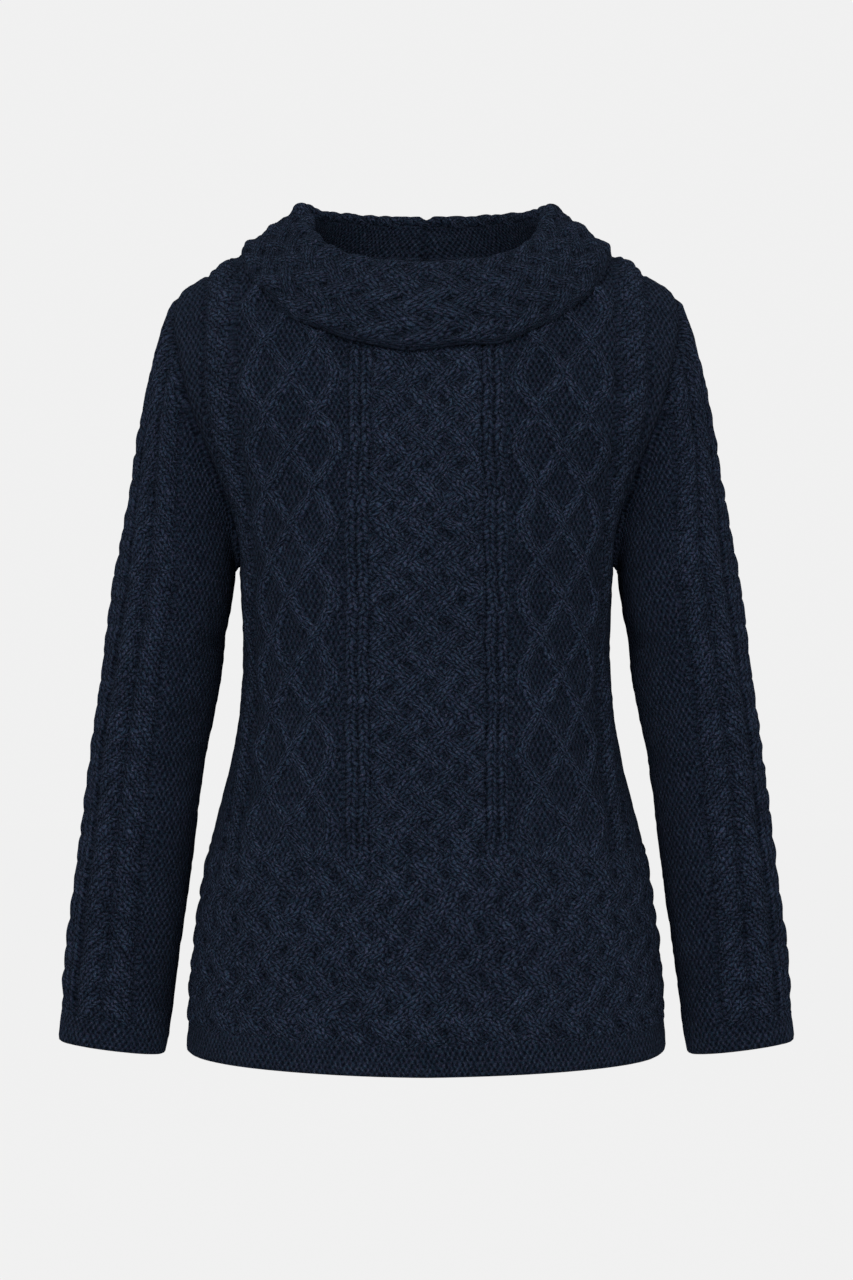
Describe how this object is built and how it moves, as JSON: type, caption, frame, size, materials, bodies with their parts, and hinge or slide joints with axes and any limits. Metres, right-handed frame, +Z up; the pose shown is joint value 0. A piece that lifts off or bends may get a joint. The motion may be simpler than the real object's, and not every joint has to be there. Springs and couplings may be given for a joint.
{
  "type": "aran sweater",
  "caption": "Hip-length aran sweater with cabled body, long cabled sleeves and a wide turned-down lattice collar, hollow as if worn.",
  "frame": {"origin": "on the wearer's shoulders: the middle of the neck, level with the high point of the shoulder", "axes": "+Z up, the front of the garment faces -Y, and the wearer's left sleeve is towards +X"},
  "size_m": [0.5914, 0.2569, 0.6793],
  "materials": {
    "body_knit": "heathered navy wool, cable knit",
    "sleeve_knit": "heathered navy wool, cable and moss knit",
    "collar_knit": "heathered navy wool, lattice knit"
  },
  "bodies": {
    "root": {"front": "body_knit", "back": "body_knit", "sleeve_left": "sleeve_knit", "sleeve_right": "sleeve_knit", "collar": "collar_knit"}
  },
  "joints": []
}
